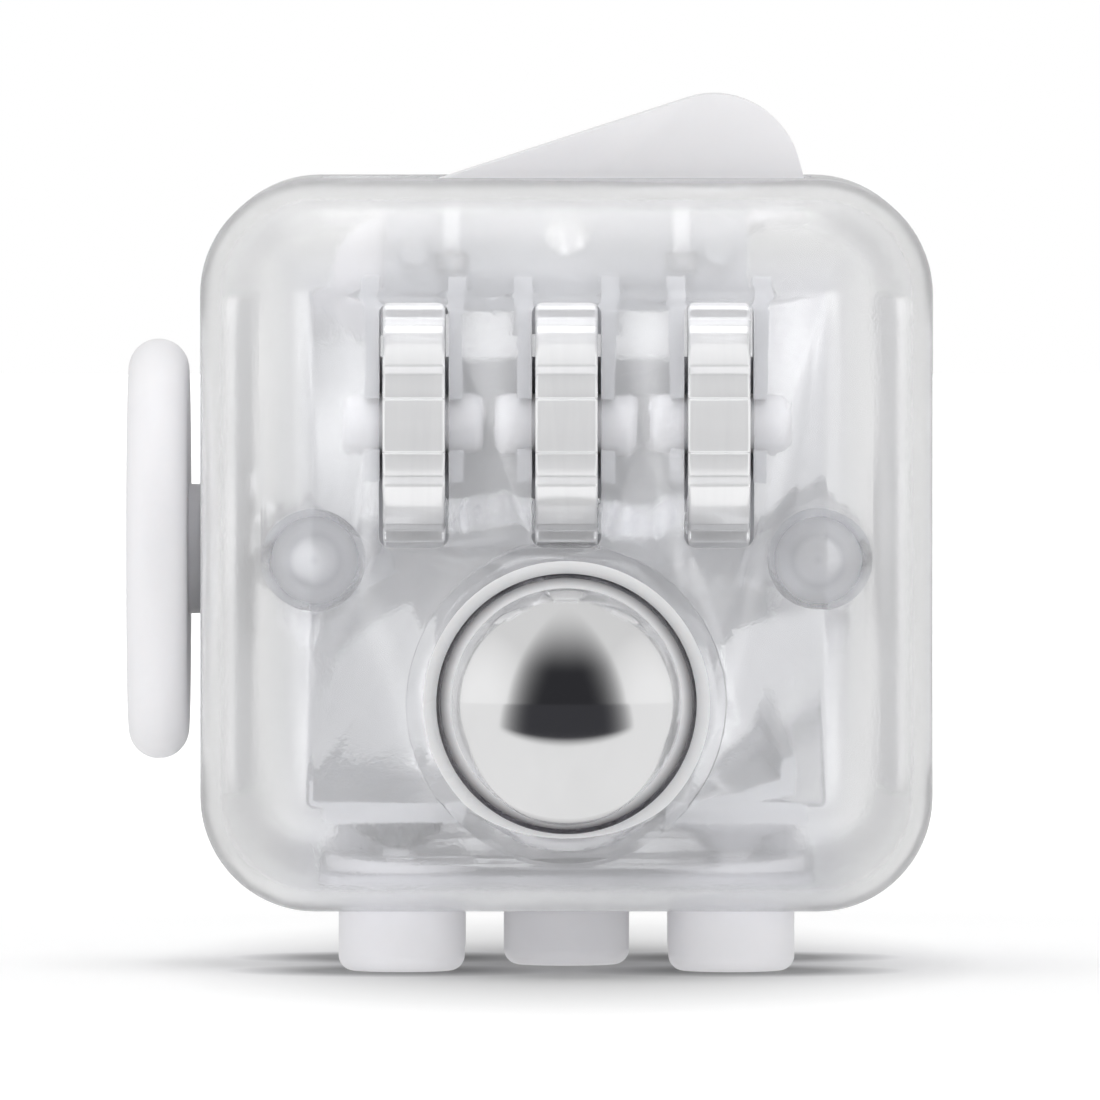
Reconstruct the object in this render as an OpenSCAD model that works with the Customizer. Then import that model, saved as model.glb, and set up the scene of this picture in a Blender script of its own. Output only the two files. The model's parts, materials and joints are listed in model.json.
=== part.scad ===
// A clear six-sided fidget cube: three gears and a ball on the front, a rocker switch
// on top, a spinning disc on the left, a thumb dish on the right, a joystick on the
// back and five push buttons underneath, on which the cube stands.
// +X right, -Y front, +Z up. The origin is under the middle button, on the table.

/* [Cube] */
// Side of the cube, from face to face
cube_size = 33; // [32.5:0.5:42]
// Radius of the rounded edges and corners
edge_radius = 5.2; // [4.2:0.1:5.6]
// Thickness of the clear wall
wall = 0.9; // [0.8:0.05:1.2]
// Space around a part that moves past another
gap = 0.3; // [0.25:0.05:0.35]
// Radial clearance of a shaft in its hole
fit = 0.05; // [0.03:0.01:0.09]

/* [Gears] */
// Outer radius of each gear wheel
gear_r = 5.7; // [5:0.1:6.9]
// Width of each gear wheel
gear_w = 2.8; // [2.2:0.1:3]
// Number of raised lands on a wheel
gear_teeth = 9; // [8:1:12]
// Depth of the valley between two lands
gear_valley = 0.5; // [0.3:0.05:0.8]
// Distance between neighbouring wheels
gear_pitch = 6.85; // [6.8:0.05:7.4]
// How far a wheel stands out of the front face
gear_out = 1; // [0.6:0.1:1.4]
// Height of the gear axles above the middle of the cube
gear_z = 5.5; // [5:0.1:5.8]
// Radius of the gear axles
axle_r = 1.35; // [1:0.05:1.5]
// Length of a gear axle
axle_len = 6.45; // [6:0.05:6.5]

/* [Ball] */
// Radius of the steel ball
ball_r = 6.3; // [5.2:0.1:6.5]
// How far the ball stands out of the front face
ball_out = 3.2; // [2.8:0.1:3.4]
// How far the ball can be pushed in
ball_travel = 0.6; // [0.4:0.1:0.8]

/* [Rocker] */
// Angle of the rocker to either side of level
rocker_tilt = 18; // [15:1:20]
// Width of the rocker from front to back
rocker_w = 12; // [10:0.1:14.4]
// Distance from the pivot to the ends of the rocker
rocker_reach = 10.98; // [9:0.01:11]
// Height of the flat top face above the pivot
rocker_face = 3.9; // [3.4:0.05:4.1]
// Radius of the rounded nose at each end
rocker_nose = 3.9; // [2.8:0.1:3.9]
// Depth of the pivot below the top of the cube
rocker_depth = 2.3; // [2.2:0.05:2.6]

/* [Spinning disc] */
// Radius of the spinning disc
spin_r = 9.55; // [8:0.05:12]
// Thickness of the spinning disc
spin_t = 2.75; // [2:0.05:3.2]
// Space between the disc and the cube
spin_space = 0.65; // [0.5:0.05:1]
// Height of the disc's axle above the middle of the cube
spin_z = -0.4; // [-0.6:0.05:0.6]
// Radius of the disc's stem
spin_stem_r = 2.95; // [2.5:0.05:3.6]

/* [Buttons] */
// Radius of a push button
button_r = 2.85; // [2.3:0.05:3]
// How far the buttons stand out, which is also the height of the feet
button_out = 2.8; // [2:0.1:3.4]
// How far a button can be pushed in
button_travel = 1.2; // [0.8:0.1:1.4]
// Distance of the outer buttons from the middle, along each side
button_pitch = 7.45; // [7.2:0.05:7.5]

/* [Joystick] */
// Radius of the joystick's thumb pad
pad_r = 5.2; // [4.4:0.1:5.6]
// Depth of the joystick's pivot below the back face
stick_depth = 10; // [9.5:0.1:10.5]
// Radius of the dome that closes the joystick's hole
dome_r = 10.6; // [10.3:0.1:10.8]

/* [Thumb dish] */
// Radius of the concave thumb dish
dish_r = 8.5; // [7:0.1:9.5]
// Depth of the concave thumb dish
dish_depth = 1.8; // [1:0.1:2.2]

/* [Hidden] */
$fn = 64;

// Overlap that makes two shapes of one part meet
join = 0.2;
// Gap between two fixed parts that touch
seat = 0.02;

// Cube
half = cube_size / 2;
inner = half - wall;
inner_radius = edge_radius - wall;
flat = half - edge_radius;
cube_z = half + button_out;
plate_half = flat - 0.55;
plate_corner = 1.5;
flange_half = flat - 0.1;
flange_t = 0.6;
flange_out = inner - fit;
flange_in = flange_out - flange_t;
tongue_len = 1.8;
tongue_t = 0.8;

// Gears
gear_y = -half + gear_r - gear_out;
gear_x = [-gear_pitch, 0, gear_pitch];
gear_edge = 0.15;
land_share = 0.58;
window_w = gear_w + 0.35;
window_h = 2 * (gear_r - 0.2);
window_corner = 0.55;
axle_end = 0.4;
rib_t = 0.8;
rib_x = gear_w / 2 + 0.15 + rib_t / 2;
rib_arm = 1.6;
rib_half = 2.6;
saddle_mouth = 1.15;
bracket_y = gear_y + gear_r + 0.35;
bracket_t = 1;
bracket_back = bracket_y + bracket_t;
bracket_top = gear_z + 2.9;
boss_x = flat;
boss_z = -0.55;
boss_r = 2.3;
leaf_t = 0.15;
leaf_w = 1.4;
pawl_rise = 2.35;
pawl_clear = 0.08;

// Screws
screw_r = 0.9;
screw_head_r = 1.8;
screw_head_h = 1;
screw_len = 6;

// Ball
ball_y = -half + ball_r - ball_out;
ball_z = gear_z - gear_r - 0.5 - ball_r;
ball_clear = 0.12;
lip_y = -half + 0.45;
lip_r = ball_clear + sqrt(ball_r ^ 2 - (ball_y - lip_y) ^ 2);
collar_r = ball_r + 0.9;
collar_len = 1.6;
seat_front = ball_y + ball_r + 0.3;
seat_t = 1;
seat_back = seat_front + seat_t;
ring_out = 0.8 * ball_r;
ring_in = 0.6 * ball_r;
ring_front = ball_y + sqrt(ball_r ^ 2 - ring_out ^ 2) + 0.2;
cup_r = ring_out + fit + 0.5;
guide_r = 1.2;
ball_spring_len = 2.6;
wing_y = seat_back + ball_spring_len;
wing_t = 1;
wing_w = 6;

// Rocker
pivot_z = half - rocker_depth;
rocker_low = 2;
rocker_wall = 1.2;
nose_reach = rocker_reach - rocker_nose;
nose_z = rocker_face - rocker_nose;
nose_x = sqrt(nose_reach ^ 2 - nose_z ^ 2);
arc_top = nose_z * rocker_reach / nose_reach;
opening_x = rocker_reach + 0.15;
opening_y = rocker_w / 2 + gap;
pin_r = 1;
hub_r = 2;
plunger_r = 0.8;
plunger_reach = 3.65;
tube_r = 1.35;
tube_low = 2.6;
track_r = plunger_reach + 0.1;
cradle_y = rocker_w / 2 + gap;
cradle_t = 1;
cradle_x = 8.2;
cradle_low = 3.5;
cradle_floor_x = 2.8;
cradle_floor_top = rocker_low / cos(rocker_tilt) + cradle_floor_x * tan(rocker_tilt) + gap;
cradle_floor_low = plunger_reach + 1.1;
clip_x = 5.2;
clip_w = 0.75;
clip_low = 1.8;
foot_w = 1.2;
foot_h = 0.8;
rib_top = pivot_z - clip_low - gap;
rib_back = min(gear_y + rib_arm + 1.8, -cradle_y - cradle_t - gap);
peg_x = 6.9;
peg_z = 0.9;
peg_r = 0.65;

// Spinning disc
spin_in = half + spin_space;
spin_out = spin_in + spin_t;
bush_wall = 0.8;
bush_r = spin_stem_r + fit + bush_wall;
spin_end = flange_in - 0.15;
washer_r = 4.2;
washer_t = 0.6;

// Buttons
button_flange_r = button_r + 0.55;
button_flange_t = 0.7;
button_low = -flange_in + fit;
button_high = button_low + button_flange_t;
nub_r = 0.8;
nub_h = 0.35;
board_z = button_high + nub_h + fit + button_travel;
board_t = 1;
board_rim = 0.9;
board_half = flat - 0.4;
board_rim_t = 0.8;
board_clear = 0.2;
soft_r = 2.6;
notch_x = button_pitch - soft_r - gap;
notch_y = 4;
stake_r = 0.9;
stake_at = board_half - 1.4;
click_r = 2.4;
click_t = 0.12;

// Joystick
stick_y = half - stick_depth;
dome_t = 0.9;
dome_angle = 50;
mouth_r = 6.6;
bezel_r = 9.2;
bezel_depth = 0.9;
bezel_boss_r = 9.6;
bezel_boss_y = half - 3.5;
seat_sphere = dome_r + gap;
neck_r = 2.2;
pad_y = half + 1.4;
pad_t = 1.4;
pad_edge = 0.6;
rod_r = 1.3;
stick_hub_r = 2.1;
gimbal_in = 2.9;
gimbal_out = 3.9;
gimbal_t = 1.6;
trunnion_r = 0.6;
ear_in = gimbal_out + 0.4;
ear_t = 1;
ear_w = 3.2;
base_y = stick_y - 5.9;
base_t = 1;
post_x = flat - 0.3;
post_z = -3;
post_r = 1.6;
foot_y = stick_y - 2.2;
foot_t = 0.4;
foot_r = 2;

// Coil springs
wire_r = 0.16;
coil_steps = 16;
coil_sides = 6;

// ---- shapes along an axis ----
module rod_x(r, from, to) {
    translate([from, 0, 0]) rotate([0, 90, 0]) cylinder(r = r, h = to - from);
}

module rod_y(r, from, to) {
    translate([0, from, 0]) rotate([-90, 0, 0]) cylinder(r = r, h = to - from);
}

module rod_z(r, from, to) {
    translate([0, 0, from]) cylinder(r = r, h = to - from);
}

// An outline drawn in (y, z) and drawn out along X
module extrude_x(from, to) {
    translate([from, 0, 0]) rotate([90, 0, 90]) linear_extrude(to - from) children();
}

// An outline drawn in (x, z) and drawn out along Y
module extrude_y(from, to) {
    translate([0, to, 0]) rotate([90, 0, 0]) linear_extrude(to - from) children();
}

// A box given by its two opposite corners
module box(low, high) {
    translate(low) cube(high - low);
}

module rounded_square(h, r) {
    square([2 * h, 2 * (h - r)], center = true);
    square([2 * (h - r), 2 * h], center = true);
    for (x = [-1, 1], y = [-1, 1])
        translate([x * (h - r), y * (h - r)]) circle(r);
}

// Everything is laid out from the middle of the cube and then raised onto its buttons
module raised() {
    translate([0, 0, cube_z]) children();
}

// A spring of round wire, standing on z = 0
module coil(r, turns, height) {
    steps = turns * coil_steps;
    points = [
        for (i = [0:steps], j = [0:coil_sides - 1])
        let (
            a = 360 * i / coil_steps,
            b = 360 * j / coil_sides,
            reach = r + wire_r * cos(b),
            rise = wire_r + (height - 2 * wire_r) * i / steps
        )
        [reach * cos(a), reach * sin(a), rise + wire_r * sin(b)]
    ];
    sides = [
        for (i = [0:steps - 1], j = [0:coil_sides - 1])
        let (a = i * coil_sides, b = a + coil_sides, k = (j + 1) % coil_sides)
        [a + j, b + j, b + k, a + k]
    ];
    first = [for (j = [0:coil_sides - 1]) j];
    last = [for (j = [coil_sides - 1:-1:0]) steps * coil_sides + j];
    polyhedron(points, concat(sides, [first, last]));
}

// A cross-head screw along Z, its head standing on z = 0
module screw(length) {
    difference() {
        union() {
            rod_z(screw_head_r, 0, screw_head_h);
            rod_z(screw_r, -length, join);
        }
        for (turn = [0, 90])
            rotate(turn) translate([0, 0, screw_head_h]) cube([2.2, 0.5, 1], center = true);
    }
}

// ---- the clear shell ----
module quarter_disc(r) {
    intersection() {
        circle(r);
        square(r);
    }
}

// The end of a rounded block beyond its straight sides, facing +Z
module end_cap(h, r) {
    f = h - r;
    box([-f, -f, f], [f, f, h]);
    for (turn = [0:90:270])
        rotate(turn) translate([f, f, f]) {
            rotate([90, 0, 0]) linear_extrude(2 * f) quarter_disc(r);
            rotate_extrude(angle = 90) quarter_disc(r);
        }
}

module front_cap(h, r) {
    rotate([90, 0, 0]) end_cap(h, r);
}

module rear_cap(h, r) {
    rotate([-90, 0, 0]) end_cap(h, r);
}

// A square hole for a face plate, cut outwards along +Z
module plate_hole() {
    translate([0, 0, inner - 1]) linear_extrude(wall + 2) rounded_square(plate_half, plate_corner);
}

// A face plate with +Z outwards: it fills its hole and its flange stops it from inside
module face_plate() {
    translate([0, 0, flange_out - join])
        linear_extrude(half - flange_out + join)
            rounded_square(plate_half - fit, plate_corner - fit);
    translate([0, 0, flange_in])
        linear_extrude(flange_t) rounded_square(flange_half, plate_corner);
}

// The space that the three wheels turn in
module gear_space() {
    for (x = gear_x)
        translate([x, gear_y, gear_z]) rod_x(gear_r + gap, -window_w / 2, window_w / 2);
}

module window_outline() {
    w = window_w / 2 - window_corner;
    h = window_h / 2 - window_corner;
    square([window_w, 2 * h], center = true);
    square([2 * w, window_h], center = true);
    for (x = [-w, w], z = [-h, h])
        translate([x, z]) circle(window_corner);
}

// A hook that hangs from the roof and holds the rocker cradle through its slot
module cradle_clip(side) {
    outer = cradle_y + cradle_t + 0.1;
    w = clip_w / 2;
    bottom = pivot_z - clip_low;
    for (x = [-clip_x, clip_x]) {
        box([x - w, side * outer - (side < 0 ? 1 : 0), bottom],
            [x + w, side * outer + (side > 0 ? 1 : 0), inner + join]);
        box([x - foot_w / 2, min(side * (outer + 1), side * (cradle_y + 0.3)), bottom],
            [x + foot_w / 2, max(side * (outer + 1), side * (cradle_y + 0.3)), bottom + foot_h]);
    }
}

module front_shell() {
    color([0.86, 0.87, 0.9, 0.45]) raised() difference() {
        union() {
            difference() {
                union() {
                    front_cap(half, edge_radius);
                    extrude_y(-flat, flat) rounded_square(half, edge_radius);
                }
                front_cap(inner, inner_radius);
                extrude_y(-flat, flat + 1) rounded_square(inner, inner_radius);
            }
            translate([0, 0, ball_z]) rod_y(collar_r, -inner - join, -inner + collar_len);
            for (x = [-boss_x, boss_x])
                translate([x, 0, boss_z]) rod_y(boss_r, -inner - join, bracket_y - seat);
            for (side = [-1, 1])
                cradle_clip(side);
        }
        for (x = gear_x)
            translate([x, 0, gear_z]) extrude_y(-half - 1, -inner + 1) window_outline();
        gear_space();
        translate([0, ball_y, ball_z]) sphere(ball_r + ball_clear);
        translate([0, 0, ball_z]) rod_y(lip_r, -half - 1, ball_y);
        translate([0, -half - fit, ball_z]) rotate([-90, 0, 0])
            cylinder(r1 = lip_r + 0.65, r2 = lip_r, h = lip_y + half + fit);
        translate([0, 0, ball_z]) rod_y(ball_r + ball_clear, ball_y, -inner + collar_len + 1);
        for (x = [-boss_x, boss_x])
            translate([x, 0, boss_z]) rod_y(screw_r + seat, bracket_y - screw_len, bracket_y + 1);
        box([-opening_x, -opening_y, inner - 1], [opening_x, opening_y, half + 1]);
        for (turn = [-90, 90, 180])
            rotate([0, turn, 0]) plate_hole();
    }
}

// Tongues in the four corners, which guide the cover into the shell
module corner_tongues() {
    out = inner - fit;
    r = inner_radius - fit;
    intersection() {
        extrude_y(flat - tongue_len, flat + 2.4) difference() {
            rounded_square(out, r);
            rounded_square(out - tongue_t, r - tongue_t);
        }
        for (x = [-1, 1], z = [-1, 1])
            translate([x * (flat + 4), flat, z * (flat + 4)]) cube([7.6, 12, 7.6], center = true);
    }
}

module rear_cover() {
    color([0.86, 0.87, 0.9, 0.45]) raised() difference() {
        union() {
            difference() {
                rear_cap(half, edge_radius);
                rear_cap(inner, inner_radius);
                box([-flat, flat - 1, -flat], [flat, flat + 1, flat]);
            }
            corner_tongues();
            rod_y(bezel_boss_r, bezel_boss_y, inner + join);
            for (x = [-post_x, post_x])
                translate([x, 0, post_z]) rod_y(post_r, base_y + base_t + seat, inner + join);
        }
        translate([0, stick_y, 0]) sphere(seat_sphere);
        rod_y(mouth_r, stick_y, half + 1);
        translate([0, half - bezel_depth, 0]) rotate([-90, 0, 0])
            cylinder(r1 = mouth_r, r2 = bezel_r + (bezel_r - mouth_r) * 0.1 / bezel_depth, h = bezel_depth + 0.1);
        for (x = [-post_x, post_x])
            translate([x, 0, post_z]) rod_y(screw_r + seat, base_y, base_y + screw_len);
    }
}

// ---- gears ----
module gear() {
    floor_r = gear_r - gear_valley;
    valley = 360 / gear_teeth * (1 - land_share) / 2;
    low = floor_r * tan(valley) * 0.94;
    high = (gear_r + 1) * tan(valley);
    rotate([0, 90, 0]) difference() {
        rotate_extrude() polygon([
            [axle_r + seat, -gear_w / 2],
            [gear_r - gear_edge, -gear_w / 2],
            [gear_r, -gear_w / 2 + gear_edge],
            [gear_r, gear_w / 2 - gear_edge],
            [gear_r - gear_edge, gear_w / 2],
            [axle_r + seat, gear_w / 2],
        ]);
        for (i = [0:gear_teeth - 1])
            rotate(-90 + i * 360 / gear_teeth) linear_extrude(gear_w + 1, center = true)
                polygon([[floor_r, -low], [gear_r + 1, -high], [gear_r + 1, high], [floor_r, low]]);
    }
}

module gear_at(i) {
    color("silver") raised() translate([gear_x[i], gear_y, gear_z]) gear();
}

module axle_at(i) {
    color("white") raised() translate([gear_x[i], gear_y, gear_z]) rotate([0, 90, 0])
        rotate_extrude() {
            square([axle_r - axle_end, axle_len / 2]);
            square([axle_r, axle_len / 2 - axle_end]);
            translate([axle_r - axle_end, axle_len / 2 - axle_end]) circle(axle_end);
            mirror([0, 1]) {
                square([axle_r - axle_end, axle_len / 2]);
                square([axle_r, axle_len / 2 - axle_end]);
                translate([axle_r - axle_end, axle_len / 2 - axle_end]) circle(axle_end);
            }
        }
}

// The bracket's upright wall with an ear for a screw on each side
module bracket_outline() {
    edge = gear_pitch + rib_x + rib_t / 2;
    translate([-edge, -1]) square([2 * edge, bracket_top + 1]);
    for (s = [-1, 1]) {
        translate([s * (boss_x + edge - 1) / 2, boss_z]) square([boss_x - edge + 1, 3.2], center = true);
        translate([s * boss_x, boss_z]) circle(boss_r);
    }
}

// A rib beside a wheel, with the saddle that an axle snaps into
module rib() {
    front = gear_y - rib_arm;
    low = gear_z - rib_half;
    extrude_x(-rib_t / 2, rib_t / 2) {
        translate([front, low]) square([bracket_y + join - front, bracket_top - low]);
        translate([front, low]) square([rib_back - front, rib_top - low]);
    }
}

module gear_bracket() {
    color("gainsboro") raised() difference() {
        union() {
            extrude_y(bracket_y, bracket_back) bracket_outline();
            for (x = gear_x, s = [-1, 1])
                translate([x + s * rib_x, 0, 0]) rib();
            box([-wing_w / 2, bracket_y, -1], [wing_w / 2, wing_y + wing_t, 0]);
            box([-wing_w / 2, wing_y, ball_z - 2.4], [wing_w / 2, wing_y + wing_t, 0]);
        }
        translate([0, gear_y, gear_z]) rod_x(axle_r + fit, -2 * gear_pitch, 2 * gear_pitch);
        box([-2 * gear_pitch, gear_y - 4, gear_z - saddle_mouth],
            [2 * gear_pitch, gear_y, gear_z + saddle_mouth]);
        for (x = [-boss_x, boss_x])
            translate([x, 0, boss_z]) rod_y(screw_r + 0.2, bracket_y - 1, bracket_back + 1);
        translate([0, 0, ball_z]) rod_y(guide_r + fit, wing_y - 1, wing_y + wing_t + 1);
    }
}

module bracket_screws() {
    color("silver") raised() for (x = [-boss_x, boss_x])
        translate([x, bracket_back + seat, boss_z]) rotate([-90, 0, 0]) screw(screw_len);
}

// A sprung steel comb: each finger's bent tip stands just outside a wheel's lands
module click_spring() {
    back = bracket_y - seat;
    front = back - leaf_t;
    tip_r = gear_r + pawl_clear;
    tip_y = gear_y + sqrt(tip_r ^ 2 - pawl_rise ^ 2);
    top = gear_z + pawl_rise;
    color("silver") raised() {
        box([-gear_pitch - leaf_w / 2, front, 0.4], [gear_pitch + leaf_w / 2, back, 2]);
        for (x = gear_x)
            translate([x, 0, 0]) extrude_x(-leaf_w / 2, leaf_w / 2) {
                translate([front, 1]) square([leaf_t, top - 0.3]);
                polygon([[front + 0.05, top - 0.6], [tip_y, top], [front + 0.05, top + 0.4]]);
            }
    }
}

// ---- ball ----
module ball() {
    color("silver") raised() translate([0, ball_y, ball_z]) sphere(ball_r);
}

// The slip ring that carries the ball and turns in the cup
module ball_ring() {
    color("white") raised() difference() {
        translate([0, 0, ball_z]) rod_y(ring_out, ring_front, seat_front - fit);
        translate([0, 0, ball_z]) rod_y(ring_in, ring_front - 1, seat_front + 1);
        translate([0, ball_y, ball_z]) sphere(ball_r + fit);
    }
}

module ball_seat() {
    color("white") raised() translate([0, 0, ball_z]) {
        difference() {
            rod_y(cup_r, ring_front, seat_back);
            rod_y(ring_out + fit, ring_front - 1, seat_front);
        }
        rod_y(guide_r, seat_back - join, wing_y + wing_t + 0.6);
    }
}

module ball_spring() {
    color("silver") raised() translate([0, seat_back + seat, ball_z]) rotate([-90, 0, 0])
        coil(2.2, 3, ball_spring_len - 2 * seat);
}

// ---- rocker ----
// The rocker's shapes are drawn level around the pivot, then tipped with the right end up
module tipped() {
    raised() translate([0, 0, pivot_z]) rotate([0, -rocker_tilt, 0]) children();
}

module rocker_outline() {
    intersection() {
        circle(rocker_reach);
        translate([-rocker_reach, -rocker_low]) square([2 * rocker_reach, rocker_low + arc_top]);
    }
    intersection() {
        for (s = [-1, 1])
            translate([s * nose_x, nose_z]) circle(rocker_nose);
        translate([-rocker_reach - 1, arc_top]) square([2 * rocker_reach + 2, rocker_face + 1]);
    }
    translate([-nose_x, 0]) square([2 * nose_x, rocker_face]);
}

module rocker_hollow() {
    x = rocker_reach - rocker_wall - 1;
    translate([-x, -rocker_low - 1]) square([2 * x, rocker_low + 1 + rocker_face - rocker_wall - 1.2]);
}

module rocker() {
    y = rocker_w / 2;
    color("white") tipped() difference() {
        union() {
            difference() {
                extrude_y(-y, y) rocker_outline();
                extrude_y(-y + rocker_wall, y - rocker_wall) rocker_hollow();
            }
            rod_y(hub_r, -y + join, y - join);
            rod_z(tube_r, -tube_low, 0);
        }
        rod_y(pin_r + fit, -y - 1, y + 1);
        rod_z(plunger_r + fit, -tube_low - 1, -pin_r);
        for (turn = [rocker_tilt, -rocker_tilt])
            rotate([0, turn, 0]) translate([0, 0, -pivot_z]) gear_space();
    }
}

module rocker_plunger() {
    color("silver") tipped() {
        rod_z(plunger_r, -plunger_reach + plunger_r, -tube_low + 0.5);
        translate([0, 0, -plunger_reach + plunger_r]) sphere(plunger_r);
    }
}

module rocker_spring() {
    color("silver") tipped() translate([0, 0, -tube_low + 0.5 + seat])
        coil(plunger_r - wire_r - 0.05, 2, tube_low - 0.5 - pin_r - fit - 2 * seat);
}

// The frame under the roof that holds the rocker's pin, with a curved track below it
module rocker_cradle() {
    color("gainsboro") raised() translate([0, 0, pivot_z]) difference() {
        union() {
            for (s = [-1, 1]) {
                near = min(s * cradle_y, s * (cradle_y + cradle_t));
                far = max(s * cradle_y, s * (cradle_y + cradle_t));
                box([-cradle_x, near, -cradle_low], [cradle_x, far, inner - pivot_z - 0.1]);
                box([-cradle_floor_x, near, -cradle_floor_low], [cradle_floor_x, far, -cradle_low + join]);
                for (x = [-peg_x, peg_x])
                    translate([x, 0, -peg_z]) rod_y(peg_r, min(near, s * (cradle_y + 2)), max(far, s * (cradle_y + 2)));
            }
            box([-cradle_floor_x, -cradle_y - join, -cradle_floor_low],
                [cradle_floor_x, cradle_y + join, -cradle_floor_top]);
        }
        rod_y(track_r, -cradle_y, cradle_y);
        rod_y(pin_r + seat, -cradle_y - cradle_t - 1, cradle_y + cradle_t + 1);
        for (s = [-clip_x, clip_x])
            box([s - foot_w / 2 - 0.1, -cradle_y - cradle_t - 1, -clip_low - 0.1],
                [s + foot_w / 2 + 0.1, cradle_y + cradle_t + 1, -clip_low + foot_h + 0.1]);
        translate([0, 0, -pivot_z]) gear_space();
    }
}

module rocker_pin() {
    y = cradle_y + cradle_t;
    color("silver") raised() translate([0, 0, pivot_z]) rod_y(pin_r, -y, y);
}

// ---- spinning disc ----
module spin_plate() {
    color([0.9, 0.9, 0.93]) raised() rotate([0, -90, 0]) difference() {
        face_plate();
        translate([spin_z, 0, 0]) rod_z(bush_r + seat, flange_in - 1, half + 1);
    }
}

module spin_bush() {
    color("ivory") raised() translate([0, 0, spin_z]) difference() {
        rod_x(bush_r, -half, -flange_in);
        rod_x(spin_stem_r + fit, -half - 1, -flange_in + 1);
    }
}

module spin_disc() {
    edge = spin_t / 2;
    color("white") raised() translate([0, 0, spin_z]) rotate([0, -90, 0]) difference() {
        union() {
            rotate_extrude() {
                translate([0, spin_in]) square([spin_r - edge, spin_t]);
                translate([spin_r - edge, spin_in + edge]) circle(edge);
            }
            rod_z(spin_stem_r, spin_end, spin_in + join);
        }
        translate([0, spin_r / 2, spin_out + 4.2]) sphere(5);
        rod_z(screw_r + seat, spin_end - 1, spin_end + 3.2);
    }
}

module spin_washer() {
    color("silver") raised() translate([0, 0, spin_z]) difference() {
        rod_x(washer_r, -spin_end + seat, -spin_end + seat + washer_t);
        rod_x(screw_r + seat, -spin_end - 1, -spin_end + washer_t + 1);
    }
}

module spin_screw() {
    color("silver") raised() translate([-spin_end + washer_t + 2 * seat, 0, spin_z]) rotate([0, 90, 0])
        screw(3.4);
}

// ---- thumb dish ----
module thumb_plate() {
    sphere_r = (dish_r ^ 2 + dish_depth ^ 2) / (2 * dish_depth);
    color([0.9, 0.9, 0.93]) raised() rotate([0, 90, 0]) difference() {
        union() {
            face_plate();
            intersection() {
                translate([0, 0, half - dish_depth + sphere_r]) sphere(sphere_r + wall);
                rod_z(flange_half - 0.6, half - dish_depth - wall - 1, flange_out);
            }
        }
        translate([0, 0, half - dish_depth + sphere_r]) sphere(sphere_r);
    }
}

// ---- buttons ----
module button_plate() {
    color([0.9, 0.9, 0.93]) raised() difference() {
        union() {
            rotate([180, 0, 0]) face_plate();
            for (p = [[-stake_at, 0], [stake_at, 0], [0, stake_at]])
                translate(p) {
                    rod_z(stake_r, -flange_in - join, board_z - seat);
                    rod_z(stake_r / 2, board_z - join, board_z + board_t + 0.3);
                }
        }
        for (p = button_places)
            translate(p) rod_z(button_r + fit, -half - 1, -flange_in + 1);
    }
}

button_places = [
    [0, 0],
    [-button_pitch, -button_pitch], [button_pitch, -button_pitch],
    [-button_pitch, button_pitch], [button_pitch, button_pitch],
];

module button_at(i) {
    edge = 0.7;
    foot = -half - button_out;
    color("white") raised() translate(button_places[i]) {
        rotate_extrude() {
            translate([0, foot]) square([button_r - edge, 2 * edge]);
            translate([button_r - edge, foot + edge]) circle(edge);
            translate([0, foot + edge]) square([button_r, button_low - foot - edge + join]);
        }
        rod_z(button_flange_r, button_low, button_high);
        rod_z(nub_r, button_high - join, button_high + nub_h);
    }
}

// A steel snap dome under the board; its crown faces the button
module click_dome(i) {
    h = board_z - button_high - nub_h - fit;
    r = (click_r ^ 2 + h ^ 2) / (2 * h);
    color("silver") raised() translate([button_places[i][0], button_places[i][1], board_z - seat])
        intersection() {
            translate([0, 0, r - h]) difference() {
                sphere(r);
                sphere(r - click_t);
            }
            rod_z(r, -h - 1, 0);
        }
}

// A rubber cone under the board, for a button that makes no click
module soft_pad(i) {
    h = board_z - button_high - nub_h - fit;
    color("gray") raised() translate([button_places[i][0], button_places[i][1], board_z - seat])
        rotate_extrude() polygon([
            [0, -h], [1, -h], [1.9, -0.4], [soft_r, -0.4], [soft_r, 0],
            [1.6, 0], [0.8, -h + 0.35], [0, -h + 0.35],
        ]);
}

module button_board() {
    color([0.82, 0.83, 0.86]) raised() difference() {
        box([-board_half, -board_half, board_z], [board_half, board_half, board_z + board_t + board_rim]);
        box([-board_half + board_rim_t, -board_half - 1, board_z + board_t],
            [board_half - board_rim_t, board_half - board_rim_t, board_z + board_t + board_rim + 1]);
        box([-notch_x, -board_half - 1, board_z - 1],
            [notch_x, -notch_y, board_z + board_t + board_rim + 1]);
        for (p = [[-stake_at, 0], [stake_at, 0], [0, stake_at]])
            translate(p) rod_z(stake_r / 2 + fit, board_z - 1, board_z + board_t + 1);
        for (y = [ball_y, ball_y + ball_travel])
            translate([0, y, ball_z]) sphere(ball_r + board_clear);
    }
}

// ---- joystick ----
module joystick_pad() {
    low = pad_y;
    color("white") raised() difference() {
        rotate([-90, 0, 0]) rotate_extrude() {
            translate([0, low]) square([pad_r - pad_edge, pad_t]);
            translate([0, low + pad_edge]) square([pad_r, pad_t - 2 * pad_edge]);
            for (y = [low + pad_edge, low + pad_t - pad_edge])
                translate([pad_r - pad_edge, y]) circle(pad_edge);
        }
        translate([0, low + pad_t + 14.4, 0]) sphere(15);
        rod_y(rod_r + seat, low - 1, low + 0.6);
    }
}

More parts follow.
